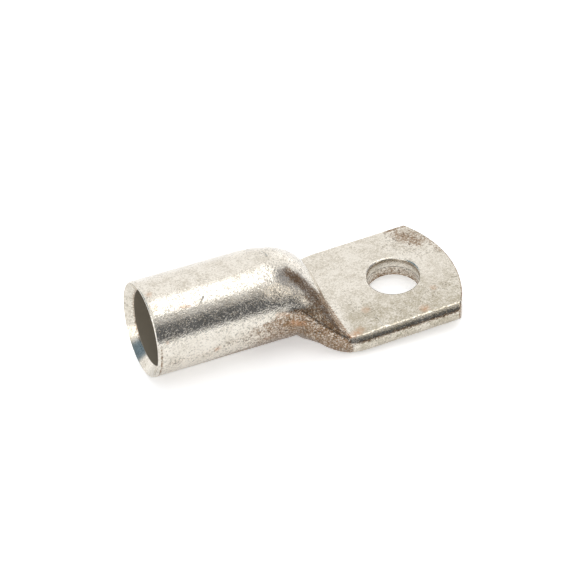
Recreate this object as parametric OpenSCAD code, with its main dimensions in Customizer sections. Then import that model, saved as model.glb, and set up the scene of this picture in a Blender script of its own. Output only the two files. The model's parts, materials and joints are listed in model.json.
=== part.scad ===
// Tubular cable lug: one length of copper tube, pressed flat at one end.
// The stud hole's axis is +Z, the palm's underside is z = 0, the palm's free end
// points along +X and the barrel that takes the conductor runs back along -X.

/* [Palm] */
// Thickness of the two walls pressed together
palm_t = 4.3; // [3.4:0.1:5]
// Width of the face that the press has flattened
palm_face_w = 25.9; // [22:0.1:30]
// How far the folded side edges stand out past the flat face
fold_bulge = 1.15; // [0.6:0.05:1.6]
// Hole axis to the middle of the palm's rounded end
palm_reach = 12.45; // [11:0.05:14.5]
// Hole axis to the palm's end corners
corner_reach = 8.65; // [6:0.05:10.5]
// Hole axis to the crease left by the press die
crease_reach = 14.7; // [12.5:0.1:16]
// Gap left along the seam between the two walls
seam_gap = 0.1; // [0.06:0.02:0.3]
// Diameter of the hole for the stud
stud_hole_d = 10.5; // [6.4:0.1:13]
// Rolled-over edge round the top of the stud hole
hole_edge = 0.25; // [0.1:0.05:0.5]

/* [Barrel] */
// Outside diameter of the tube
barrel_d = 18.9; // [17:0.1:20]
// Bore for the conductor
bore_d = 15; // [13:0.1:16]
// Hole axis to the middle of the mouth
mouth_reach = 53.05; // [46:0.05:70]
// Height of the barrel's axis over the palm's underside, at the mouth
axis_rise = 11.25; // [10:0.05:12.5]
// Fall of the barrel's axis towards the palm, in degrees
axis_fall = 2; // [0:0.1:3]
// Lean of the saw cut at the mouth, in degrees
mouth_lean = 2.4; // [0:0.1:5]
// Diameter of the countersink at the mouth
sink_d = 17.6; // [16.2:0.1:18.2]
// Depth of the countersink
sink_depth = 1.55; // [0.8:0.05:3]
// Edge broken round the outside of the mouth
rim_edge = 0.25; // [0.1:0.05:0.6]

/* [Neck] */
// Radius in which the tube's top bends down to the palm
shoulder_r = 11.9; // [8:0.1:15]
// Steepness of the neck just behind the crease, in degrees
neck_slope = 76; // [60:1:78]
// Radius of the die's edge, which the crease follows
die_edge_r = 1.1; // [0.8:0.1:2]
// Hole axis to where the round tube starts to be pressed out of shape
press_reach = 30.5; // [29:0.1:33]
// How early the pressed shape is reached: more is earlier
press_snap = 2.1; // [1.5:0.1:3]
// Hole axis to where the tube's flanks begin to spread
flare_reach = 23.7; // [21:0.1:28]
// Hole axis to where the palm has its full width
full_width_reach = 11.1; // [10:0.1:13]
// Radius that rounds the flaring flank into the palm's side, seen from above
flare_r = 14.4; // [8:0.1:15]
// How abruptly the flanks drop towards the palm: 1 is even, more is sudden
drop_snap = 1.2; // [1:0.1:2]
// Hole axis to where the tube's belly begins to settle on the anvil
belly_reach = 23.6; // [22:0.1:28]
// Length over which the belly settles
belly_run = 1.5; // [1:0.1:6]

/* [Smoothness] */
// Rings along the neck, up to the die's edge
neck_rings = 20; // [14:1:26]
// Rings round the die's edge
crease_rings = 10; // [6:1:12]
// Rings along the cavity that closes inside the neck
cavity_rings = 26; // [16:1:32]
// Points from the crown of the neck to its side
quarter_points = 16; // [8:1:18]

/* [Hidden] */

// overlap by which pieces of the one solid bite into each other
weld = 0.02;
// allowance by which a cutter passes the face that it cuts
past = 1;

barrel_r = barrel_d / 2;
bore_r = bore_d / 2;
wall = barrel_r - bore_r;
palm_wall = (palm_t - seam_gap) / 2;
half_t = palm_t / 2;
half_face = palm_face_w / 2;
half_w = half_face + fold_bulge;

// the fold's side is an arc that rises to the flat face on each side
fold_r = (half_t * half_t + fold_bulge * fold_bulge) / (2 * fold_bulge);
fold_turn = asin(half_t / fold_r);
fold_run = fold_r * fold_turn * PI / 180;

// the palm's end is one wide arc through its apex and its two corners
end_sag = palm_reach - corner_reach;
end_r = (half_face * half_face + end_sag * end_sag) / (2 * end_sag);

crease_x = -crease_reach;
// the flat face starts a little inside the neck, so that the two join
palm_x = crease_x - 0.4;

// seen from above, the flank flares in a straight line that meets an arc at a tangent
full_x = -full_width_reach;
flare_x = -flare_reach;
flare_arm = [full_x - flare_x, half_w - flare_r - barrel_r];
flare_angle = atan2(flare_arm[1], flare_arm[0]) + asin(flare_r / norm(flare_arm));
flare_arc_x = full_x - flare_r * sin(flare_angle);

// the pressed shape is complete just behind the crease, and the folds settle just past it
press_end_x = crease_x - 1;
settle_x = crease_x + 1.2;
// power that lets the pressing start without a break in the tube's top
press_start_blend = 1.5;
// power below 1 that lets the underside flatten a little ahead of the flare
flank_hold = 0.85;

// centre line of the tube's top, worked out from its two straight stretches
axis_slope = tan(axis_fall);
top_at_origin = axis_z(0) + barrel_r / cos(axis_fall);
fillet_x = crease_x - die_edge_r * sin(neck_slope);
fillet_z = palm_t + die_edge_r * (1 - cos(neck_slope));
meet_x = (fillet_z + fillet_x * tan(neck_slope) - top_at_origin) / (tan(neck_slope) - axis_slope);
meet_z = top_at_origin - axis_slope * meet_x;
bend_run = shoulder_r * tan((neck_slope - axis_fall) / 2);
bend_x = meet_x - bend_run * cos(axis_fall);
bend_z = meet_z + bend_run * sin(axis_fall);
bend_centre = [bend_x - shoulder_r * sin(axis_fall), bend_z - shoulder_r * cos(axis_fall)];
crease_centre = [crease_x, palm_t + die_edge_r];

function axis_z(x) = axis_rise - (x + mouth_reach) * axis_slope;
function clamp01(v) = min(1, max(0, v));
function mix(a, b, f) = a + (b - a) * f;
function smooth(v) = v * v * (3 - 2 * v);
function ease(from, to, x, snap) = 1 - pow(1 - clamp01((x - from) / (to - from)), snap);
function spread(from, to, count) = [for (k = [0:count - 1]) mix(from, to, k / count)];

// Height of the tube's top on the centre line, taken a depth o inside the metal
function crown_z(x, o) =
    let (
        bend_end = bend_centre[0] + (shoulder_r - o) * sin(neck_slope),
        crease_start = crease_centre[0] - (die_edge_r + o) * sin(neck_slope),
        crease_top = crease_centre[1] - (die_edge_r + o) * cos(neck_slope)
    )
    x < bend_x - o * sin(axis_fall) ? top_at_origin - x * axis_slope - o / cos(axis_fall)
    : x < bend_end ? bend_centre[1] + sqrt(pow(shoulder_r - o, 2) - pow(x - bend_centre[0], 2))
    : x < crease_start ? crease_top + (crease_start - x) * tan(neck_slope)
    : x < crease_x ? crease_centre[1] - sqrt(pow(die_edge_r + o, 2) - pow(crease_x - x, 2))
    : palm_t - o;

// Share of the way from the tube to the palm, measured on the crown's height
function crown_share(x) =
    clamp01((top_at_origin - x * axis_slope - crown_z(x, 0))
        / (top_at_origin - crease_x * axis_slope - palm_t));

// Half the width of the lug at x
function half_width(x) =
    x < flare_x ? barrel_r
    : x < flare_arc_x ? barrel_r + (x - flare_x) * tan(flare_angle)
    : x < full_x ? half_w - flare_r + sqrt(flare_r * flare_r - pow(x - full_x, 2))
    : half_w;
function flank_share(x) = (half_width(x) - barrel_r) / (half_w - barrel_r);

// Height at which the lug is widest, and height of its underside on the centre line
function side_z(x) =
    min(mix(axis_z(x), half_t, ease(flare_x, settle_x, x, drop_snap)), crown_z(x, 0) - half_t);
function belly_z(x) =
    (axis_z(x) - barrel_r) * (1 - smooth(clamp01((x + belly_reach) / belly_run)));

// How far the top has been pressed from a round into a low arch between two folds
function press_share(x) = pow(ease(-press_reach, press_end_x, x, press_snap), press_start_blend);

// A point of the palm's quarter outline, at a run from the side's middle: its place
// across, its height over the middle, and its share of the arch's height
function fold_point(run) =
    run < fold_run
    ? [
        half_w - fold_r + fold_r * cos(run / fold_r * 180 / PI),
        fold_r * sin(run / fold_r * 180 / PI),
        0
    ]
    : [half_face + fold_run - run, half_t, 1 - pow((half_face + fold_run - run) / half_face, 2)];

// steps from the side (0) to the crown (1), closer together round the fold
quarter = [for (i = [0:quarter_points]) pow(i / quarter_points, 1.25)];

// One ring of the neck, a depth o inside the outer skin
function ring(x, o) =
    let (
        press = press_share(x),
        settle = pow(flank_share(x), flank_hold),
        y = half_width(x) - o,
        z = side_z(x),
        up = crown_z(x, o) - z,
        down = z - belly_z(x) - o,
        fold_h = half_t - o,
        upper = [for (q = quarter) let (f = fold_point(q * (fold_run + half_face))) [
            y * mix(cos(90 * q), f[0] / half_w, press),
            z + mix(up * sin(90 * q), fold_h * f[1] / half_t + (up - fold_h) * f[2], press)
        ]],
        lower = [for (q = quarter) let (f = fold_point(q * (fold_run + half_face))) [
            y * mix(cos(90 * q), f[0] / half_w, settle),
            z - down * mix(sin(90 * q), f[1] / half_t, settle)
        ]],
        n = quarter_points
    )
    concat(
        [for (i = [0:n]) [x, upper[i][0], upper[i][1]]],
        [for (i = [n - 1:-1:0]) [x, -upper[i][0], upper[i][1]]],
        [for (i = [1:n]) [x, -lower[i][0], lower[i][1]]],
        [for (i = [n - 1:-1:1]) [x, lower[i][0], lower[i][1]]]
    );

// A closed skin over a list of rings that all have the same number of points
module skin(rings) {
    per_ring = len(rings[0]);
    last = len(rings) - 1;
    polyhedron(
        points = [for (r = rings) for (p = r) p],
        faces = concat(
            [[for (i = [0:per_ring - 1]) i]],
            [for (k = [0:last - 1]) for (i = [0:per_ring - 1])
                let (a = k * per_ring + i, b = k * per_ring + (i + 1) % per_ring)
                for (t = [[a, a + per_ring, b], [b, a + per_ring, b + per_ring]]) t],
            [[for (i = [per_ring - 1:-1:0]) last * per_ring + i]]
        )
    );
}

// Places its children at the mouth, with +Z running into the barrel
module at_mouth() {
    translate([-mouth_reach, 0, axis_rise])
        rotate([0, 90 + axis_fall, 0])
            children();
}

// The same place, square to the leaning saw cut
module at_cut() {
    translate([-mouth_reach, 0, axis_rise])
        rotate([0, 90 + axis_fall + mouth_lean, 0])
            children();
}

// Round tube, still solid, from the mouth to where the press has shaped it
module barrel() {
    tube_l = (mouth_reach - press_reach) / cos(axis_fall);
    difference() {
        at_mouth()
            translate([0, 0, -past])
                cylinder(h = tube_l + past, r = barrel_r, $fn = 128);
        at_cut()
            translate([-barrel_d, -barrel_d, -barrel_d])
                cube([2 * barrel_d, 2 * barrel_d, barrel_d]);
        at_cut()
            rim_break();
    }
}

// Ring that takes the sharp edge off the outside of the mouth
module rim_break() {
    rotate_extrude($fn = 128)
        polygon([
            [barrel_r - rim_edge, -rim_edge],
            [barrel_r + past, -rim_edge],
            [barrel_r + past, 2 * rim_edge + past],
            [barrel_r - rim_edge, 0]
        ]);
}

// Stretch that the press has drawn from round to flat, and the palm's corners behind it
module neck() {
    die_x = crease_x - 2 * die_edge_r;
    end_x = full_x + past;
    xs = concat(
        spread(-press_reach - past / 2, die_x, neck_rings),
        spread(die_x, crease_x, crease_rings),
        spread(crease_x, end_x, 5),
        [end_x]
    );
    skin([for (x = xs) ring(x, weld)]);
}

// Flat palm: folded side edges where it is full width, and an end cropped to a wide arc
module palm() {
    intersection() {
        translate([full_x, 0, 0])
            rotate([90, 0, 90])
                linear_extrude(palm_reach - full_x + past)
                    palm_section();
        translate([palm_reach - end_r, 0, 0])
            cylinder(h = palm_t, r = end_r, $fn = 256);
    }
    plate_half = half_width(palm_x) * half_face / half_w;
    translate([palm_x, -plate_half, 0])
        cube([full_x - palm_x + past, 2 * plate_half, palm_t]);
}

module palm_section() {
    translate([-half_face, 0])
        square([palm_face_w, palm_t]);
    for (side = [-1, 1])
        intersection() {
            translate([side * (half_w - fold_r), half_t])
                circle(r = fold_r, $fn = 64);
            translate([side * half_w - half_w / 2, 0])
                square([half_w, palm_t]);
        }
}

// Bore, countersink, and the cavity that closes to the seam
module cavity() {
    bore_l = (mouth_reach - press_reach - past / 2) / cos(axis_fall);
    at_mouth()
        translate([0, 0, -past])
            cylinder(h = bore_l + past, r = bore_r, $fn = 96);
    at_cut()
        countersink();
    xs = concat(spread(-press_reach - past, crease_x, cavity_rings), [crease_x]);
    skin([for (x = xs) ring(x, mix(wall + weld, palm_wall, crown_share(x)))]);
    seam();
}

// Cone that opens the mouth; its point runs on inside the bore
module countersink() {
    taper = (sink_d - bore_d) / 2 / sink_depth;
    run = 2 * sink_depth;
    translate([0, 0, -past])
        cylinder(h = run + past, r1 = sink_d / 2 + taper * past, r2 = sink_d / 2 - taper * run, $fn = 96);
}

// The closed seam runs on between the palm's two walls to its free end
module seam() {
    seam_w = 2 * (half_w - palm_wall);
    translate([crease_x - past, -seam_w / 2, half_t - seam_gap / 2])
        cube([crease_reach + palm_reach + 2 * past, seam_w, seam_gap]);
}

module stud_hole() {
    translate([0, 0, -past])
        cylinder(h = palm_t + 2 * past, d = stud_hole_d, $fn = 96);
    translate([0, 0, palm_t - hole_edge])
        cylinder(
            h = hole_edge + past,
            r1 = stud_hole_d / 2,
            r2 = stud_hole_d / 2 + hole_edge + past,
            $fn = 96
        );
}

// The whole lug, tin-plated copper
module cable_lug() {
    color("#DAD3C8")
        difference() {
            union() {
                barrel();
                neck();
                palm();
            }
            cavity();
            stud_hole();
        }
}

cable_lug();
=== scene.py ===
# Tubular cable lug: tin-plated copper tube with one end pressed flat into a drilled palm
import bpy
import json
import math
import numpy as np
from mathutils import Matrix, Vector, noise


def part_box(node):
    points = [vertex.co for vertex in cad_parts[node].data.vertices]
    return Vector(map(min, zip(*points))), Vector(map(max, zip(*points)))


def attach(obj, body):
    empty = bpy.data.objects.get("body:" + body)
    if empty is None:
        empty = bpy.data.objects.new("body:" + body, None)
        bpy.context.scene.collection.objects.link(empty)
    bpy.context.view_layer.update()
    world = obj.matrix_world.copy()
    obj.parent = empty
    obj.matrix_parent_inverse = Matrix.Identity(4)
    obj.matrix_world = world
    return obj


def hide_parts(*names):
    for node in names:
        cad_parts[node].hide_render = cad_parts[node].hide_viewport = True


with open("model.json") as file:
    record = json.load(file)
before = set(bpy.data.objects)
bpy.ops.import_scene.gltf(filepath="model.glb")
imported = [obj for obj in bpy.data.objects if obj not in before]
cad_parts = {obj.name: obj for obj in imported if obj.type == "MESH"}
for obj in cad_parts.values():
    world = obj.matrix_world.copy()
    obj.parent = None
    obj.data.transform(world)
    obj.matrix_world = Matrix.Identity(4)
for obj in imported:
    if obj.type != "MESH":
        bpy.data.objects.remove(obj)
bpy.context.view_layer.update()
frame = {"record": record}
mounts = {mount["name"]: mount for mount in frame["record"]["mounts"]}
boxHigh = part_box("cable_lug")[1]
mm = 0.001  # one millimetre in metres
print("frame loaded")


def hexColour(code):
    # sRGB hex to linear RGBA
    parts = [int(code[i:i + 2], 16) / 255 for i in (1, 3, 5)]
    return [p / 12.92 if p <= 0.04045 else ((p + 0.055) / 1.055) ** 2.4 for p in parts] + [1]


def addNode(tree, kind, settings=None, links=None):
    # a setting is a property of the node, or the value of one of its inputs
    node = tree.nodes.new(kind)
    for name, value in (settings or {}).items():
        if isinstance(name, str) and hasattr(node, name):
            setattr(node, name, value)
        else:
            node.inputs[name].default_value = value
    for name, source in (links or {}).items():
        tree.links.new(source, node.inputs[name])
    return node


def mix(a, b, share):
    return a + (b - a) * share


def smoothStep(low, high, value):
    t = np.clip((value - low) / (high - low), 0, 1)
    return t * t * (3 - 2 * t)


# the lug's shape, in millimetres from the stud hole's axis and the palm's underside, mouth at -x
lug = {
    "palmFace": 25.9,     # width that the press has flattened
    "cornerReach": 8.65,  # hole axis to the end's corners
    "endCurveStart": -6,  # from here on the rings bend towards the end's arc
    "creaseReach": 14.7,  # hole axis to the crease
    "seamGap": 0.1,       # slit left between the palm's two walls
    "mouthRise": 11.25,   # height of the mouth's centre
    "mouthReach": 53.05,  # hole axis to the mouth
    "tubeAcross": 18.9,   # outer diameter
    "mouthLean": 2.4,     # degrees, lean of the saw cut
    "leanFade": (3, 16),  # behind the mouth, the rings stand upright again over this stretch
    "landInner": 9.15,    # radius where the countersink starts
    "sinkDepth": 1.55,    # how far the countersink goes in
    "rimEdge": 0.1,       # broken edge outside the mouth
    "rimRun": 0.55,       # how far that broken edge reaches back
    "shoulder": 11.9,     # radius of the bend down to the palm
    "slope": 76,          # degrees, just behind the crease
    "dieEdge": 1.1,       # radius that rounds the slope into the palm
    "flareStart": -23.7,  # where the sides start to spread
    "flareEnd": -11.1,    # where they reach the palm's full width
    "flareArc": 14.4,     # radius that rounds the flare into the palm's side
    "dropEnd": -13.5,     # where the widest line has come down to the palm
    "dropSnap": 1.2,      # above 1 it comes down early
    "bellyStart": -23.6,  # where the underside steps down to the palm's level
    "bellyRun": 1.5,      # length of that step
    "pressStart": -30.5,  # where the round top starts to turn into arch and folds
    "pressEnd": -15.7,    # where that is complete
    "pressSnap": 2.1,     # above 1 it turns early
    "pressEase": 1.5,     # above 1 it starts softly
    "flankHold": 0.85,    # below 1 the underside flattens ahead of the flare
    "holeRoll": 0.44,     # edge of the stud hole, rolled over by the punch
    "hardEdge": 38,       # degrees, sharper bends stay crisp
}
palmThick = mounts["palm_top"]["pos_m"][2] / mm
boreRadius = mounts["conductor_bore"]["dims"]["r_mm"]
studRadius = mounts["stud_hole"]["dims"]["r_mm"]
boreAxis = mounts["conductor_bore"]["axis"]
palmReach = boxHigh.x / mm
halfWide = boxHigh.y / mm
tubeRadius = lug["tubeAcross"] / 2
halfThick = palmThick / 2
halfFace = lug["palmFace"] / 2
tubeWall = tubeRadius - boreRadius
palmWall = (palmThick - lug["seamGap"]) / 2
axisFall = math.atan2(boreAxis[2], -boreAxis[0])
axisSlope = math.tan(axisFall)
cutSlope = math.tan(axisFall + math.radians(lug["mouthLean"]))
mouthX = -lug["mouthReach"]
sinkEnd = mouthX + lug["sinkDepth"]
creaseX = -lug["creaseReach"]

# the fold's side is an arc, and so is the palm's end
bulge = halfWide - halfFace
foldRadius = (halfThick ** 2 + bulge ** 2) / (2 * bulge)
foldRun = foldRadius * math.asin(halfThick / foldRadius)
endSag = palmReach - lug["cornerReach"]
endRadius = (halfFace ** 2 + endSag ** 2) / (2 * endSag)


def axisZ(x):
    return lug["mouthRise"] - (x - mouthX) * axisSlope


# top line: tube, bend, slope, die's edge
slope = math.radians(lug["slope"])
topAtOrigin = axisZ(0) + tubeRadius / math.cos(axisFall)
filletX = creaseX - lug["dieEdge"] * math.sin(slope)
filletZ = palmThick + lug["dieEdge"] * (1 - math.cos(slope))
meetX = (filletZ + filletX * math.tan(slope) - topAtOrigin) / (math.tan(slope) - axisSlope)
bendRun = lug["shoulder"] * math.tan((slope - axisFall) / 2)
bendX = meetX - bendRun * math.cos(axisFall)
bendZ = topAtOrigin - axisSlope * meetX + bendRun * math.sin(axisFall)
bendCentreX = bendX - lug["shoulder"] * math.sin(axisFall)
bendCentreZ = bendZ - lug["shoulder"] * math.cos(axisFall)


def crownZ(x, inset):
    # height of the top line at x, or of a line a depth inset below it
    bendR = lug["shoulder"] - inset
    dieR = lug["dieEdge"] + inset
    bendEnd = bendCentreX + bendR * math.sin(slope)
    filletStart = creaseX - dieR * math.sin(slope)
    filletTop = palmThick + lug["dieEdge"] - dieR * math.cos(slope)
    if x < bendX - inset * math.sin(axisFall):
        return topAtOrigin - x * axisSlope - inset / math.cos(axisFall)
    if x < bendEnd:
        return bendCentreZ + math.sqrt(max(bendR ** 2 - (x - bendCentreX) ** 2, 0))
    if x < filletStart:
        return filletTop + (filletStart - x) * math.tan(slope)
    if x < creaseX:
        return palmThick + lug["dieEdge"] - math.sqrt(dieR ** 2 - (creaseX - x) ** 2)
    return palmThick - inset


# side line: tube, straight flare, arc, palm
flareArm = (lug["flareEnd"] - lug["flareStart"], halfWide - lug["flareArc"] - tubeRadius)
flare = math.atan2(flareArm[1], flareArm[0]) + math.asin(lug["flareArc"] / math.hypot(*flareArm))
flareArcX = lug["flareEnd"] - lug["flareArc"] * math.sin(flare)


def halfWidth(x):
    if x < lug["flareStart"]:
        return tubeRadius
    if x < flareArcX:
        return tubeRadius + math.tan(flare) * (x - lug["flareStart"])
    if x < lug["flareEnd"]:
        return halfWide - lug["flareArc"] + math.sqrt(lug["flareArc"] ** 2 - (x - lug["flareEnd"]) ** 2)
    return halfWide


# a quarter outline runs from the side (0) to the crown (1): round tube, and fold with flat face
# its points lie closest together at the fold's edge, where the burr stands
closeFrom = foldRun - 0.5
closeTo = foldRun + 0.9
run = np.concatenate([np.linspace(0, closeFrom, 10)[:-1], np.linspace(closeFrom, closeTo, 12)[:-1],
                      np.linspace(closeTo, foldRun + halfFace, 41)])
quarter = run / run[-1]
roundY = np.cos(quarter * math.pi / 2)
roundZ = np.sin(quarter * math.pi / 2)
inFold = run < foldRun
foldY = halfWide - foldRadius + foldRadius * np.cos(run / foldRadius)
pressedY = np.where(inFold, foldY, halfFace - (run - foldRun))
pressedZ = np.where(inFold, foldRadius * np.sin(run / foldRadius), halfThick)
# 1 in the arch's middle, 0 at the folds
archShare = np.where(inFold, 0, 1 - (pressedY / halfFace) ** 2)


def ring(x, inset):
    # one closed outline of the tube at x, a depth inset inside the outer skin
    press = np.clip((x - lug["pressStart"]) / (lug["pressEnd"] - lug["pressStart"]), 0, 1)
    press = (1 - (1 - press) ** lug["pressSnap"]) ** lug["pressEase"]
    drop = np.clip((x - lug["flareStart"]) / (lug["dropEnd"] - lug["flareStart"]), 0, 1)
    drop = 1 - (1 - drop) ** lug["dropSnap"]
    flank = np.clip((halfWidth(x) - tubeRadius) / (halfWide - tubeRadius), 0, 1)
    wide = halfWidth(x) - inset
    sideZ = min(mix(axisZ(x), halfThick, drop), crownZ(x, 0) - halfThick)
    bellyZ = (axisZ(x) - tubeRadius) * (1 - smoothStep(0, lug["bellyRun"], x - lug["bellyStart"]))
    # pressed top: a low arch between the two folds
    foldShare = (halfThick - inset) / halfThick
    rise = crownZ(x, inset) - sideZ
    arch = rise - halfThick + inset
    upperY = wide * mix(roundY, pressedY / halfWide, press)
    upperZ = sideZ + mix(rise * roundZ, pressedZ * foldShare + arch * archShare, press)
    # the underside flattens with the flare
    down = sideZ - bellyZ - inset
    settle = flank ** lug["flankHold"]
    lowerY = wide * mix(roundY, pressedY / halfWide, settle)
    lowerZ = sideZ - down * mix(roundZ, pressedZ / halfThick, settle)
    y = np.concatenate([upperY, -upperY[-2::-1], -lowerY[1:], lowerY[-2:0:-1]])
    z = np.concatenate([upperZ, upperZ[-2::-1], lowerZ[1:], lowerZ[-2:0:-1]])
    return np.stack([np.full(len(y), x), y, z], 1)


def station(x, inset):
    # a ring that leans with the saw cut near the mouth and curves with the palm's end
    points = ring(x, inset)
    lean = cutSlope * (1 - smoothStep(*lug["leanFade"], x - mouthX))
    points[:, 0] += (points[:, 2] - axisZ(x)) * lean
    endArc = endRadius - np.sqrt(endRadius ** 2 - points[:, 1] ** 2)
    points[:, 0] -= endArc * smoothStep(lug["endCurveStart"], palmReach, x)
    return points


def innerInset(x):
    # the cavity's wall thickens as the top line sinks below the straight tube's
    sunk = topAtOrigin - x * axisSlope - crownZ(x, 0)
    sunkAtCrease = topAtOrigin - creaseX * axisSlope - palmThick
    return mix(tubeWall, palmWall, np.clip(sunk / sunkAtCrease, 0, 1))


# distances between rings in millimetres, smallest where the surface bends or is worn most
ringGap = {"palm": 0.25, "crease": 0.13, "neck": 0.2, "barrel": 0.4, "bore": 0.9, "cavity": 0.6, "seam": 1.6}


def lugStations():
    # from the seam at the palm's end, over the outside to the mouth, and back through the bore
    stations = [(palmReach, palmWall), (palmReach, 0.3), (palmReach - 0.03, 0.12), (palmReach - 0.12, 0.03)]
    for start, end, gap in ((palmReach - 0.3, creaseX + 1.2, ringGap["palm"]),
                            (creaseX + 1.1, creaseX - 3, ringGap["crease"]),
                            (creaseX - 3.1, bendX - 2, ringGap["neck"]),
                            (bendX - 2.3, mouthX + 1, ringGap["barrel"])):
        stations += [(x, 0) for x in np.arange(start, end, -gap)]
    # broken edge and rounded rim
    rimBack = mouthX + lug["rimRun"]
    stations += [(rimBack + 0.15, 0), (rimBack, 0), (rimBack - 0.08, 0.05), (mouthX + 0.26, 0.06),
                 (mouthX + 0.12, lug["rimEdge"]), (mouthX + 0.03, lug["rimEdge"] + 0.09)]
    # countersink, bore, cavity and seam
    sinkInset = tubeRadius - lug["landInner"]
    stations += [(mouthX, sinkInset)]
    stations += [(mouthX + lug["sinkDepth"] * t, mix(sinkInset, tubeWall, t)) for t in (0.03, 0.5, 0.97, 1)]
    stations += [(x, tubeWall) for x in np.arange(sinkEnd + 0.4, bendX - 0.4, ringGap["bore"])]
    stations += [(x, innerInset(x)) for x in np.arange(bendX + 0.2, creaseX, ringGap["cavity"])]
    stations += [(x, palmWall) for x in np.arange(creaseX + 0.6, palmReach - 0.4, ringGap["seam"])]
    return stations


# what pressing, cutting and handling left on the surface, in millimetres
relief = {
    "waviness": 0.025,          # slow unevenness of the drawn tube
    "wavinessSize": 6,
    "wavinessEnd": (-20, -14),  # stretch over which the die has flattened it
    "neckWaviness": 0.07,       # rougher where the press has stretched it
    "neckWavinessSize": 2.2,
    "neckStart": (-31, -27),
    "burrHeight": 0.15,         # burr squeezed up beside the die, along one side of the palm
    "burrWidth": 0.36,          # it rises steeply inside and slopes off to the fold
    "burrStart": -11.6,
    "toothSize": 0.55,          # ragged teeth along the burr's crest
    "dieLine": -13.55,          # line that the die's flat leaves on the palm
    "dieLineTurn": 0.035,       # it runs a little askew
    "dieLineWidth": 0.16,
    "dieLineDepth": 0.05,
    "endCalm": 0.8,             # none of this right at the palm's cut end
    # dents: place, radius and depth
    "dents": [
        (-26.6, 0.2, 19.6, 0.35, 0.16),
        (-26.9, 1.0, 19.9, 0.3, 0.08),
        (-23.4, -9.6, 9.6, 0.45, 0.16),
        (-23.3, -9.4, 8.2, 0.45, 0.16),
        (-23.3, -9.0, 6.6, 0.45, 0.12),
        (-36.2, -9.3, 10.0, 0.3, 0.06),
        (-45.8, -7.6, 16.6, 0.4, 0.05),
        (-49.2, -6.0, 18.2, 0.4, 0.05),
        (-30.4, -8.2, 14.2, 0.5, 0.06),
    ],
}


def cloud(points, size, seed):
    # smooth unevenness, about -1 to 1, with lumps of the given size
    shift = Vector((seed * 13.7, seed * 5.1, seed * 9.3))
    return np.array([noise.noise(Vector(point) / size + shift) for point in points.tolist()])


def burrShare(points):
    # 1 on the crest of the burr, which stands along the near side's fold:
    # up over one width from the fold, then steeply down over half of one
    x, y, z = points.T
    edge = halfFace * np.array([halfWidth(place) for place in x.tolist()]) / halfWide
    inward = (y + edge) / relief["burrWidth"]
    along = smoothStep(relief["burrStart"], relief["burrStart"] + 1.2, x)
    return np.clip(inward + 0.15, 0, 1) * smoothStep(1.6, 1.05, inward) * along * (z > halfThick)


def surfaceRelief(points):
    # height to add along the outer skin's normal
    x, y, z = points.T
    drawn = 1 - smoothStep(*relief["wavinessEnd"], x)
    neck = smoothStep(*relief["neckStart"], x) * (1 - smoothStep(creaseX - 1.2, creaseX, x))
    height = relief["waviness"] * cloud(points, relief["wavinessSize"], 1) * drawn
    height += relief["neckWaviness"] * cloud(points, relief["neckWavinessSize"], 2) * neck
    # the burr's teeth differ along it and hardly across it
    teeth = 0.85 + 0.6 * cloud(points * (1, 0.2, 0.2), relief["toothSize"], 3)
    height += relief["burrHeight"] * np.clip(teeth, 0.1, 1.3) * burrShare(points)
    # the die's flat ends in a fine line across the palm
    offLine = (x - relief["dieLine"] - relief["dieLineTurn"] * y) / relief["dieLineWidth"]
    height -= relief["dieLineDepth"] * np.exp(-offLine ** 2) * (z > halfThick)
    for dentX, dentY, dentZ, radius, depth in relief["dents"]:
        away = ((x - dentX) ** 2 + (y - dentY) ** 2 + (z - dentZ) ** 2) / radius ** 2
        height -= depth * np.exp(-away)
    return height


def buildLug():
    stations = lugStations()
    grid = np.array([station(x, inset) for x, inset in stations])
    count, around = grid.shape[:2]
    # outward normals of the grid, for the relief on the outer skin
    across = np.roll(grid, -1, 1) - np.roll(grid, 1, 1)
    along = np.roll(grid, -1, 0) - np.roll(grid, 1, 0)
    normals = np.cross(along, across)
    normals /= np.maximum(np.linalg.norm(normals, axis=2, keepdims=True), 1e-9)
    outer = [k for k, (x, inset) in enumerate(stations) if inset == 0]
    skin = grid[outer].reshape(-1, 3)
    height = surfaceRelief(skin) * smoothStep(0, relief["endCalm"], palmReach - skin[:, 0])
    grid[outer] += (height[:, None] * normals[outer].reshape(-1, 3)).reshape(len(outer), around, 3)
    faces = []
    for k in range(count):
        here, there = k * around, (k + 1) % count * around
        faces += [(here + i, there + i, there + (i + 1) % around, here + (i + 1) % around)
                  for i in range(around)]
    mesh = bpy.data.meshes.new("tubeLug")
    mesh.from_pydata((grid.reshape(-1, 3) * mm).tolist(), [], faces)
    mesh.validate()
    # the material tells the unplated bore by this; the hair allows for rounding
    hair = 0.01
    inner = np.array([k > 0 and inset > tubeWall - hair and x > sinkEnd - hair
                      for k, (x, inset) in enumerate(stations)])
    layer = mesh.attributes.new("inside", "FLOAT", "POINT")
    layer.data.foreach_set("value", np.repeat(inner, around).astype(float))
    piece = bpy.data.objects.new("tubeLug", mesh)
    bpy.context.scene.collection.objects.link(piece)
    return piece


tubeLug = buildLug()
print("tube and palm built:", len(tubeLug.data.polygons), "faces")


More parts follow.
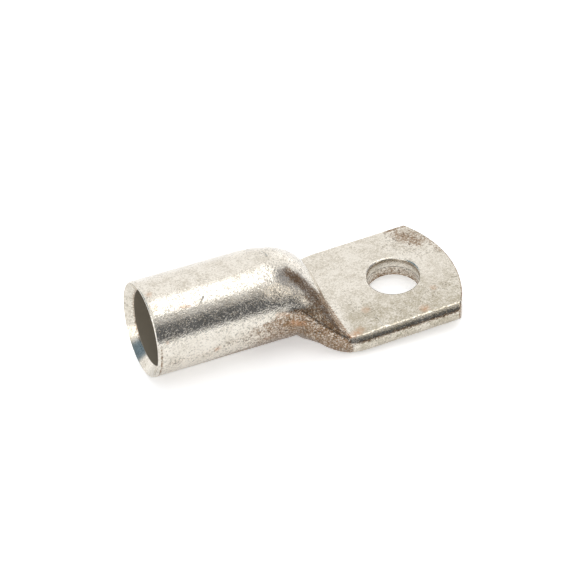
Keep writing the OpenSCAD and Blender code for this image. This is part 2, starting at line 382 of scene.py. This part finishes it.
def drillHole(piece):
    # the punch's own shape: straight, with a wide shallow roll at the top edge
    roll = lug["holeRoll"]
    profile = [(studRadius, -1), (studRadius, palmThick - 0.7 * roll),
               (studRadius + 0.2 * roll, palmThick - 0.4 * roll), (studRadius + roll, palmThick),
               (studRadius + 2 * roll, palmThick + 0.35 * roll)]
    turns = 144
    angles = [2 * math.pi * i / turns for i in range(turns)]
    points = [(r * mm * math.cos(angle), r * mm * math.sin(angle), z * mm)
              for r, z in profile for angle in angles]
    lastRing = (len(profile) - 1) * turns
    faces = []
    for low in range(0, lastRing, turns):
        high = low + turns
        faces += [(low + i, low + (i + 1) % turns, high + (i + 1) % turns, high + i) for i in range(turns)]
    faces += [tuple(reversed(range(turns))), tuple(range(lastRing, lastRing + turns))]
    mesh = bpy.data.meshes.new("drill")
    mesh.from_pydata(points, [], faces)
    drill = bpy.data.objects.new("drill", mesh)
    bpy.context.scene.collection.objects.link(drill)
    cut = piece.modifiers.new("studHole", "BOOLEAN")
    cut.object = drill
    cut.operation = "DIFFERENCE"
    cut.solver = "EXACT"
    depsgraph = bpy.context.evaluated_depsgraph_get()
    drilled = bpy.data.meshes.new_from_object(piece.evaluated_get(depsgraph))
    piece.modifiers.clear()
    piece.data = drilled
    bpy.data.objects.remove(drill)


drillHole(tubeLug)
print("stud hole drilled:", len(tubeLug.data.polygons), "faces")


def shadeSmooth(piece, degrees):
    # smooth everywhere but over hard edges
    mesh = piece.data
    mesh.shade_smooth()
    mesh.set_sharp_from_angle(angle=math.radians(degrees))


shadeSmooth(tubeLug, lug["hardEdge"])

# tin-plated copper, satin: pale warm metal that blurs what it mirrors, browned where it was worked
# inside the bore the copper is bare and dull with oxide, so it hardly mirrors
tin = {
    "clean": "#EBE5DA",
    "dull": "#CDC5B7",                 # greyer patches of thicker plating
    "film": "#B4AB97",                 # thin grey film, most along the palm's near side
    "stain": "#8C7156",                # brown tarnish, also laid on as painted shade and painted dark reflection in a few places
    "speck": "#3E352C",                # dark specks, most in the tarnish
    "copper": "#BE8B60",               # copper showing through
    "oxide": "#8A8172",                # the bore near its mouth, painted darker to offset the light that falls in and mirrors there
    "deepOxide": "#B4AA98",            # the bore further in, painted lighter to offset the shade there
    "handled": (3, 20),                # depth over which one turns into the other, mm
    "roughness": 0.13,                 # smooth plating, which still blurs a little
    "stainRoughness": 0.27,
    "oxideRoughness": 0.5,
    "cutRoughness": 0.1,               # countersink, turned with a sharp tool
    # patterns: size of the lumps in mm, then detail, roughness and distortion
    # the plating's own grain is finer, and is drawn as coarse as it needs to show
    "patterns": {
        "grain": (0.4, 2, 0.5, 0.8),       # orange peel of the plating
        "coarse": (1.0, 2, 0.5, 0),
        "speck": (0.42, 2, 0.5, 1),        # small pits that hold dirt
        "cloud": (2.6, 4, 0.6, 0),
        "fleck": (0.34, 2, 0.7, 0),        # finest mottling of the tarnish
        "mottle": (0.8, 4, 0.7, 0.8),
    },
    # blends of patterns: the first one, and how much of each other one is added
    "blends": {
        "relief": ("grain", {"coarse": 0.4, "pits": -0.5}),                 # height of the plating
        "cloudy": ("cloud", {"speck": 1, "fleck": 0.9}),                    # dull plating and film
        "patchy": ("mottle", {"speck": 0.5, "cloud": 0.4, "fleck": 2.2}),   # tarnish, and the painted shade and dark reflection laid on with it
    },
    # each of these begins to show at its first value and is full at its second
    "limits": {
        "pits": (0.57, 0.68),
        "dull": (1.3, 1.75),
        "film": (1.15, 1.75),
        "stain": (1.65, 2.5),
        "bare": (0.18, 0.55),
    },
    "grainHeight": 0.042,              # mm of relief where a pattern goes from 0 to 1
    "palmGrain": 0.8,                  # amount of grain on the palm
    "barrelGrain": 0.1,                # and how much more there is on the barrel
    "neckGrain": 0.55,                 # and on the neck
    "barrelEnd": (-31, -27),           # stretch over which the barrel's finish gives way
    "neckStart": (-33, -27),           # and the neck's begins
    "leastFilm": 0.2,                  # the film never breaks up wholly
    "mostCopper": 0.6,                 # nor does the plating wear off wholly
    "cleanSpecks": 0.04,               # dark specks on clean metal
    "stainSpecks": 0.62,               # and more of them with the tarnish and the painted shade
    # dark lines: amount, middle and half width in mm
    "rimDirt": (1, 0.12, 0.17),        # dark line behind the broken edge, stronger on the mouth's lower half
    "sinkDirt": (1.15, 0, 0.3),        # dark line round the countersink's foot, on its far side
    "foldDirt": (1.1, 3.2, 0.6),       # along the folds, by height: painted dark reflection along the palm's sides, with some dirt
    "creaseDirt": (1.7, -0.55, 0.45),  # just behind the crease: painted shade in the concave bend, with some dirt
    "endDirt": (1.15, 0.12, 0.3),      # dark line along the palm's end
    "holeDirt": 1.3,                   # darker, browner lower half of the stud hole
    "holeDirtFall": 0.22,              # less of it with each mm upwards
    "mostStain": 1.15,                 # no darker than this where they meet
    "neckStain": 0.15,                 # slight tarnish all round the neck
    "underNeck": 1.02,                 # even tarnish below it
    "underNeckStart": (-46, -31),
    "underNeckEnd": (-15.5, -13),
    "underNeckTop": (14.5, 11),        # it thins out upwards
    "underNeckSide": (4, -3),          # and towards the far side
    # tarnish: places it runs through, radius and amount; one streak low on the barrel is also painted shade
    "stains": [
        ([(6.2, 10.6, 4.3), (8.6, 7.4, 4.3)], 3.6, 1.1),
        ([(4.4, 12.9, 4.3), (8.6, 12.9, 4.3)], 1.2, 1.15),
        ([(8.4, 11.4, 4.3), (11.0, 6.4, 4.3), (11.6, 3.0, 4.3)], 1.3, 0.98),
        ([(4.2, 8.6, 4.3), (7.5, 4.6, 4.3)], 2.4, 0.8),
        ([(-3.0, -10.0, 4.3), (3.0, -8.0, 4.3), (9.5, -6.5, 4.3)], 2.6, 0.72),
        ([(-10.0, -5.0, 4.3), (-8.0, -9.0, 4.3)], 2.4, 0.72),
        ([(-23.8, -4.0, 17.4), (-22.4, -5.2, 16.0), (-19.2, -7.6, 11.6), (-16.0, -11.8, 5.2)], 2.2, 1.06),
        ([(-51.0, -9.0, 9.0), (-44.0, -9.3, 9.0), (-36.0, -9.4, 9.6)], 2.4, 0.85),
        ([(-25.0, -9.0, 11.5), (-22.4, -9.6, 11.0), (-19.6, -11.4, 8.4)], 1.6, 1.2),
        ([(-33.0, -9.0, 5.6), (-27.5, -9.0, 7.4), (-23.0, -9.6, 7.4), (-18.0, -12.0, 4.2)], 3.4, 1.05),
        # this streak low along the barrel is partly tarnish, partly painted shade near the floor
        ([(-50.0, -6.5, 3.4), (-43.0, -7.6, 4.2), (-36.0, -8.0, 5.0), (-30.0, -7.8, 4.6)], 2.6, 1.15),
        ([(-22.0, -7.0, 13.4), (-17.0, -10.0, 7.6)], 1.8, 1.0),
        ([(-12.0, -13.4, 2.2), (6.0, -13.4, 2.2)], 1.2, 0.85),
        ([(-53.0, 7.0, 15.5), (-53.0, 8.8, 11.0)], 0.8, 0.95),
    ],
    # bare copper: places, radius and amount
    "bareSpots": [
        ([(-51.1, -1.3, 20.6)], 0.9, 0.9),
        ([(-51.1, -4.6, 19.5)], 0.9, 0.8),
        ([(-46.6, -5.3, 18.8), (-44.8, -5.5, 18.6)], 0.5, 0.9),
        ([(-50.8, -8.9, 14.4)], 0.6, 0.8),
        ([(-41.1, -9.3, 9.3)], 1.1, 0.8),
        ([(-25.4, -9.4, 9.7), (-23.6, -9.5, 8.6)], 1.1, 1.0),
        ([(-28.4, -9.2, 12.6), (-26.0, -9.3, 12.0)], 0.9, 0.7),
        ([(-9.1, -6.7, 4.3)], 1.2, 0.9),
        ([(1.3, -11.5, 4.3)], 1.4, 1.0),
        ([(5.6, -6.7, 4.3)], 1.1, 0.75),
        ([(-14.2, -12.4, 4.3), (-12.4, -11.6, 4.3)], 1.3, 0.9),
        ([(-31.0, -8.8, 7.5)], 1.2, 0.6),
    ],
    # scratches: start, end, half width, and depth in grain heights, where one below 0 stands up
    "scratches": [
        ((-42.8, -5.9, 18.2), (-41.5, -4.8, 19.0), 0.2, 2.4),
        ((-40.6, -0.9, 20.3), (-39.9, -1.4, 20.2), 0.13, 2),
        ((-39.9, -1.4, 20.2), (-39.1, -1.7, 20.1), 0.12, 2),
        ((-29.6, -9.4, 9.9), (-26.6, -9.3, 8.3), 0.13, -1.6),
        ((-8.1, -8.8, 4.3), (-7.8, -12.6, 4.3), 0.12, -1.2),
        ((-35.8, -9.4, 10.4), (-35.3, -9.2, 8.8), 0.14, 1.6),
        ((-26.6, 1.9, 19.4), (-26.4, 0, 19.6), 0.25, 4),
        ((-23.5, -9.5, 10.1), (-23.4, -9.4, 7.9), 0.22, -3),
        ((-23.4, -9.4, 7.9), (-23.1, -8.9, 5.5), 0.22, -3),
        ((-23.0, -9.5, 9.6), (-22.9, -9.2, 6.0), 0.2, 4),
    ],
}


def streakShare(points, streaks):
    # strongest of the soft streaks at each point; a streak runs through its places
    share = np.zeros(len(points))
    for places, radius, amount in streaks:
        for start, end in zip(places, places[1:] or places):
            stretch = np.subtract(end, start)
            reach = (points - start) @ stretch / max(stretch @ stretch, 1e-9)
            foot = start + np.clip(reach, 0, 1)[:, None] * stretch
            away = ((points - foot) ** 2).sum(1) / radius ** 2
            share = np.maximum(share, amount * np.exp(-away))
    return share


def darkLine(name, distance):
    # darkening beside a line, by the distance from it
    amount, middle, halfAcross = tin[name]
    return amount * np.exp(-((distance - middle) / halfAcross) ** 2)


def paintWearAndShade(piece):
    # where the metal is stained or given painted shade and painted dark reflection, bare, cut bright or left
    # dull inside; the material reads these
    mesh = piece.data
    points = np.empty(len(mesh.vertices) * 3)
    mesh.vertices.foreach_get("co", points)
    points = points.reshape(-1, 3) / mm
    inside = np.empty(len(mesh.vertices))
    mesh.attributes["inside"].data.foreach_get("value", inside)
    x, y, z = points.T
    offAxis = np.hypot(y, z - axisZ(x))
    fromCut = x - mouthX - (z - axisZ(x)) * cutSlope
    fromEnd = endRadius - np.hypot(x - palmReach + endRadius, y)
    cut = (offAxis < lug["landInner"] + 0.02) * (fromCut < lug["sinkDepth"] + 0.05)
    barrel = 1 - smoothStep(*tin["barrelEnd"], x)
    neck = smoothStep(*tin["neckStart"], x) * (1 - smoothStep(creaseX - 1, creaseX + 0.5, x))
    below = smoothStep(*tin["underNeckStart"], x) * (1 - smoothStep(*tin["underNeckEnd"], x))
    below *= smoothStep(*tin["underNeckTop"], z) * smoothStep(*tin["underNeckSide"], y)
    # dark lines behind the rim and most below it, in the hole's lower half, in the crease as painted shade
    # with some dirt, and along the palm's edges, where the folds get a painted dark reflection with some dirt
    rim = (0.9 + smoothStep(15, 10, z)) * (offAxis > lug["landInner"] + 0.1)
    fold = smoothStep(halfFace, halfFace + 0.3, abs(y)) * (x > creaseX)
    crease = smoothStep(9, -3, y) * (z > palmThick - 0.1)
    hole = (np.hypot(x, y) < studRadius + 0.02) * (z < halfThick)
    stain = np.maximum.reduce([
        np.maximum(streakShare(points, tin["stains"]), tin["underNeck"] * below) + tin["neckStain"] * neck,
        darkLine("rimDirt", fromCut - lug["rimRun"]) * rim,
        darkLine("sinkDirt", fromCut - lug["sinkDepth"]) * cut * smoothStep(1, 4, y),
        darkLine("foldDirt", z) * fold,
        darkLine("creaseDirt", x - creaseX) * crease,
        darkLine("endDirt", fromEnd) * (x > 0),
        (tin["holeDirt"] - tin["holeDirtFall"] * z) * hole,
    ])
    # the burr stays bright
    stain = np.minimum(stain, tin["mostStain"]) * (1 - burrShare(points)) * (1 - inside)
    # a thin grey film dulls the palm, most along its near side, and the countersink's far side
    film = (0.25 + 0.75 * smoothStep(0, 9, -y)) * smoothStep(creaseX, creaseX + 2, x)
    film = np.maximum(film, 0.5 * cut * smoothStep(2, 6, y))
    grain = tin["palmGrain"] + tin["barrelGrain"] * barrel + tin["neckGrain"] * neck
    layers = {
        "stain": stain,
        "bare": streakShare(points, tin["bareSpots"]),
        "grain": grain * (1 - np.maximum(cut, inside)),
        "cut": cut,
        "film": film,
    }
    for name, values in layers.items():
        layer = mesh.attributes.new(name, "FLOAT", "POINT")
        layer.data.foreach_set("value", values.astype(float))


def scratchShare(tree, place, start, end, halfAcross):
    # 1 along the middle of a straight scratch, 0 beyond its sides
    origin = Vector(start) * mm
    stretch = (Vector(end) - Vector(start)) * mm
    offset = addNode(tree, "ShaderNodeVectorMath", {"operation": "SUBTRACT", 1: origin},
                     {0: place}).outputs[0]
    reach = addNode(tree, "ShaderNodeVectorMath",
                    {"operation": "DOT_PRODUCT", 1: stretch / stretch.length_squared}, {0: offset})
    held = addNode(tree, "ShaderNodeClamp", {}, {"Value": reach.outputs["Value"]}).outputs[0]
    foot = addNode(tree, "ShaderNodeVectorMath", {"operation": "SCALE", 0: stretch},
                   {"Scale": held}).outputs[0]
    away = addNode(tree, "ShaderNodeVectorMath", {"operation": "DISTANCE"}, {0: offset, 1: foot})
    return addNode(tree, "ShaderNodeMapRange",
                   {"interpolation_type": "SMOOTHSTEP", "From Min": halfAcross * mm, "From Max": 0},
                   {"Value": away.outputs["Value"]}).outputs[0]


def tinPlatedCopper():
    material = bpy.data.materials.new("tin-plated copper, satin")
    material.use_nodes = True
    tree = material.node_tree
    tree.nodes.clear()
    place = addNode(tree, "ShaderNodeTexCoord").outputs["Object"]
    wear = {name: addNode(tree, "ShaderNodeAttribute", {"attribute_name": name}).outputs["Fac"]
            for name in ("stain", "bare", "grain", "cut", "film", "inside")}
    span = {name: {"From Min": low, "From Max": high} for name, (low, high) in tin["limits"].items()}
    pattern = {}
    for name, (size, detail, roughness, distortion) in tin["patterns"].items():
        lumps = {"Scale": 1 / (size * mm), "Detail": detail, "Roughness": roughness, "Distortion": distortion}
        pattern[name] = addNode(tree, "ShaderNodeTexNoise", lumps, {"Vector": place}).outputs["Fac"]
    pattern["pits"] = addNode(tree, "ShaderNodeMapRange", span["pits"],
                              {"Value": pattern["speck"]}).outputs[0]
    blend = {}
    for name, (first, others) in tin["blends"].items():
        blend[name] = pattern[first]
        for other, weight in others.items():
            blend[name] = addNode(tree, "ShaderNodeMath", {"operation": "MULTIPLY_ADD", 1: weight},
                                  {0: pattern[other], 2: blend[name]}).outputs[0]
    # height of the surface: grain and pits, then the scratches
    height = addNode(tree, "ShaderNodeMath", {"operation": "MULTIPLY"},
                     {0: blend["relief"], 1: wear["grain"]}).outputs[0]
    for start, end, halfAcross, depth in tin["scratches"]:
        share = scratchShare(tree, place, start, end, halfAcross)
        height = addNode(tree, "ShaderNodeMath", {"operation": "MULTIPLY_ADD", 1: -depth},
                         {0: share, 2: height}).outputs[0]
    bump = addNode(tree, "ShaderNodeBump", {"Strength": 1, "Distance": tin["grainHeight"] * mm},
                   {"Height": height})
    # where the dull clouds, the film, the tarnish with its painted shade and dark reflection, its specks and
    # the bare copper show
    dull = addNode(tree, "ShaderNodeMapRange", span["dull"], {"Value": blend["cloudy"]}).outputs[0]
    film = addNode(tree, "ShaderNodeMapRange", {**span["film"], "To Min": tin["leastFilm"]},
                   {"Value": blend["cloudy"]}).outputs[0]
    film = addNode(tree, "ShaderNodeMath", {"operation": "MULTIPLY"}, {0: film, 1: wear["film"]}).outputs[0]
    patchy = addNode(tree, "ShaderNodeMath", {"operation": "MULTIPLY"},
                     {0: blend["patchy"], 1: wear["stain"]}).outputs[0]
    stain = addNode(tree, "ShaderNodeMapRange", span["stain"], {"Value": patchy}).outputs[0]
    dirty = addNode(tree, "ShaderNodeMath",
                    {"operation": "MULTIPLY_ADD", 1: tin["stainSpecks"], 2: tin["cleanSpecks"]},
                    {0: wear["stain"]}).outputs[0]
    specks = addNode(tree, "ShaderNodeMath", {"operation": "MULTIPLY"},
                     {0: pattern["pits"], 1: dirty}).outputs[0]
    bare = addNode(tree, "ShaderNodeMath", {"operation": "MULTIPLY"},
                   {0: pattern["mottle"], 1: wear["bare"]}).outputs[0]
    bare = addNode(tree, "ShaderNodeMapRange", {**span["bare"], "To Max": tin["mostCopper"]},
                   {"Value": bare}).outputs[0]
    colour = addNode(tree, "ShaderNodeMix",
                     {"data_type": "RGBA", 6: hexColour(tin["clean"]), 7: hexColour(tin["dull"])},
                     {0: dull}).outputs[2]
    for name, share in (("film", film), ("stain", stain), ("speck", specks), ("copper", bare)):
        colour = addNode(tree, "ShaderNodeMix", {"data_type": "RGBA", 7: hexColour(tin[name])},
                         {0: share, 6: colour}).outputs[2]
    # the bore is painted darkest near the mouth and lighter further in: painted shade and painted light that
    # offset how light falls into it
    along = addNode(tree, "ShaderNodeSeparateXYZ", {}, {0: place}).outputs["X"]
    depth = {"From Min": (mouthX + tin["handled"][0]) * mm, "From Max": (mouthX + tin["handled"][1]) * mm}
    deep = addNode(tree, "ShaderNodeMapRange", depth, {"Value": along}).outputs[0]
    oxide = addNode(tree, "ShaderNodeMix",
                    {"data_type": "RGBA", 6: hexColour(tin["oxide"]), 7: hexColour(tin["deepOxide"])},
                    {0: deep}).outputs[2]
    colour = addNode(tree, "ShaderNodeMix", {"data_type": "RGBA"},
                     {0: wear["inside"], 6: colour, 7: oxide}).outputs[2]
    # tarnish and the painted shade with it scatter more, the turned countersink less
    rough = addNode(tree, "ShaderNodeMapRange", {"To Min": tin["roughness"], "To Max": tin["stainRoughness"]},
                    {"Value": stain}).outputs[0]
    for name, share in (("cutRoughness", wear["cut"]), ("oxideRoughness", wear["inside"])):
        rough = addNode(tree, "ShaderNodeMix", {"data_type": "FLOAT", 3: tin[name]},
                        {0: share, 2: rough}).outputs[0]
    plated = addNode(tree, "ShaderNodeMath", {"operation": "SUBTRACT", 0: 1}, {1: wear["inside"]}).outputs[0]
    shader = addNode(tree, "ShaderNodeBsdfPrincipled", {},
                     {"Base Color": colour, "Metallic": plated, "Roughness": rough,
                      "Normal": bump.outputs["Normal"]})
    addNode(tree, "ShaderNodeOutputMaterial", {}, {"Surface": shader.outputs["BSDF"]})
    return material


paintWearAndShade(tubeLug)
tubeLug.data.materials.clear()
tubeLug.data.materials.append(tinPlatedCopper())
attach(tubeLug, "root")
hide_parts("cable_lug")
print("tin plating done")

# studio: pale floor, soft surroundings with a few lighter and darker panels that the metal mirrors
studio = {
    "room": 1.08,          # tone of the surroundings, 1 is white
    "floor": 0.96,         # tone of the paper
    "floorAcross": 3,      # metres
    "floorLift": 0.44,     # keeps the floor white round the shadow
    "mirroredLift": 0.26,  # and pale where the metal mirrors it
    # each panel: tone, then azimuth, half width, softness, low edge, softness, high edge, softness,
    # all in degrees round the lug
    "panels": [
        ((0.55, 0.55, 0.55), -88, 32, 8, 46, 4, 59, 4),
        ((0.33, 0.33, 0.35), -10, 24, 6, 0, 6, 54, 3),
        ((0.13, 0.135, 0.145), -78, 44, 6, -1, 6, 45, 13),
        ((1.35, 1.28, 1.18), -48, 9, 3, 19, 4, 46, 6),
        ((1.4, 1.4, 1.42), 38, 16, 6, -12, 4, 22, 6),
        ((2.1, 2.1, 2.1), -22, 55, 7, 59, 3, 100, 1),
        ((1.9, 1.9, 1.9), -160, 17, 3, -4, 4, 52, 6),
        ((0.17, 0.25, 0.32), 150, 33, 2, 19, 2, 62, 4),
    ],
}


def studioWorld():
    world = bpy.data.worlds.new("pale studio")
    bpy.context.scene.world = world
    world.use_nodes = True
    tree = world.node_tree
    tree.nodes.clear()
    # the direction looked in, as angles round the lug and up from the level
    look = addNode(tree, "ShaderNodeTexCoord").outputs["Generated"]
    split = addNode(tree, "ShaderNodeSeparateXYZ", {}, {0: look})
    azimuth = addNode(tree, "ShaderNodeMath", {"operation": "ARCTAN2"},
                      {0: split.outputs["Y"], 1: split.outputs["X"]}).outputs[0]
    elevation = addNode(tree, "ShaderNodeMath", {"operation": "ARCSINE"}, {0: split.outputs["Z"]}).outputs[0]
    tone = studio["room"]
    room = addNode(tree, "ShaderNodeRGB")
    room.outputs[0].default_value = (tone, tone, tone, 1)
    colour = room.outputs[0]
    for tone, middle, half, softSide, low, softLow, high, softHigh in studio["panels"]:
        turn = azimuth
        for step in ({"operation": "SUBTRACT", 1: math.radians(middle)},
                     {"operation": "WRAP", 1: math.pi, 2: -math.pi},
                     {"operation": "ABSOLUTE"}):
            turn = addNode(tree, "ShaderNodeMath", step, {0: turn}).outputs[0]
        share = None
        for value, outside, inside in ((turn, half + softSide, half - softSide),
                                       (elevation, low - softLow, low + softLow),
                                       (elevation, high + softHigh, high - softHigh)):
            fade = {"interpolation_type": "SMOOTHSTEP", "From Min": math.radians(outside),
                    "From Max": math.radians(inside)}
            edge = addNode(tree, "ShaderNodeMapRange", fade, {"Value": value}).outputs[0]
            if share is None:
                share = edge
            else:
                share = addNode(tree, "ShaderNodeMath", {"operation": "MULTIPLY"},
                                {0: share, 1: edge}).outputs[0]
        colour = addNode(tree, "ShaderNodeMix", {"data_type": "RGBA", 7: (*tone, 1)},
                         {0: share, 6: colour}).outputs[2]
    # behind the lug the room shows plain white
    path = addNode(tree, "ShaderNodeLightPath")
    seen = addNode(tree, "ShaderNodeMix", {"data_type": "RGBA", 7: (1, 1, 1, 1)},
                   {0: path.outputs["Is Camera Ray"], 6: colour})
    glow = addNode(tree, "ShaderNodeBackground", {"Strength": 1}, {"Color": seen.outputs[2]})
    addNode(tree, "ShaderNodeOutputWorld", {}, {"Surface": glow.outputs[0]})


def restingFloor():
    # the lug lies on the mouth's lowest edge and on the heel behind the palm
    rim = station(mouthX + lug["rimRun"], 0)
    mouthLow = rim[rim[:, 2].argmin()]
    # the heel is looked for along the underside, from the barrel to the palm
    heelFrom, heelTo, heelStep = -34, -10, 0.2
    slopes = [(ring(x, 0)[:, 2].min() - mouthLow[2]) / (x - mouthLow[0])
              for x in np.arange(heelFrom, heelTo, heelStep)]
    tilt = math.atan(min(slopes))
    bpy.ops.mesh.primitive_plane_add(size=studio["floorAcross"])
    floor = bpy.context.object
    floor.name = "floor"
    floor.rotation_euler = (0, -tilt, 0)
    floor.location = (0, 0, (mouthLow[2] - mouthLow[0] * math.tan(tilt)) * mm)
    # matt paper: an even pale ground without gloss, which takes a soft shadow
    material = bpy.data.materials.new("matt white paper")
    material.use_nodes = True
    tree = material.node_tree
    tree.nodes.clear()
    tone = studio["floor"]
    paper = addNode(tree, "ShaderNodeBsdfDiffuse", {"Color": (tone, tone, tone, 1)})
    path = addNode(tree, "ShaderNodeLightPath")
    mirrored = addNode(tree, "ShaderNodeMath", {"operation": "MULTIPLY", 1: studio["mirroredLift"]},
                       {0: path.outputs["Is Glossy Ray"]})
    lift = addNode(tree, "ShaderNodeMath", {"operation": "MULTIPLY_ADD", 1: studio["floorLift"]},
                   {0: path.outputs["Is Camera Ray"], 2: mirrored.outputs[0]})
    glow = addNode(tree, "ShaderNodeEmission", {"Color": (1, 1, 1, 1)}, {"Strength": lift.outputs[0]})
    both = addNode(tree, "ShaderNodeAddShader", {}, {0: paper.outputs[0], 1: glow.outputs[0]})
    addNode(tree, "ShaderNodeOutputMaterial", {}, {"Surface": both.outputs[0]})
    floor.data.materials.append(material)
    return tilt


studioWorld()
print("floor tilt", round(math.degrees(restingFloor()), 2))

# the camera's place in metres, and its own three directions
view = {
    "place": (-0.16181, -0.35626, 0.34894),
    "right": (0.9156, -0.3998, -0.0425),
    "up": (0.2950, 0.5963, 0.7466),
    "back": (-0.2731, -0.6962, 0.6639),
    "lens": 163.46,   # mm
    "sensor": 36,     # mm
    "nearest": 0.01,  # metres, closest thing that it shows
}
camera = bpy.data.objects.new("camera", bpy.data.cameras.new("camera"))
bpy.context.scene.collection.objects.link(camera)
turn = Matrix((view["right"], view["up"], view["back"])).transposed().to_4x4()
turn.translation = view["place"]
camera.matrix_world = turn
camera.data.lens = view["lens"]
camera.data.sensor_width = view["sensor"]
camera.data.clip_start = view["nearest"]
bpy.context.scene.camera = camera
bpy.context.scene.view_settings.view_transform = "Standard"
print("camera placed")

bpy.context.view_layer.update()
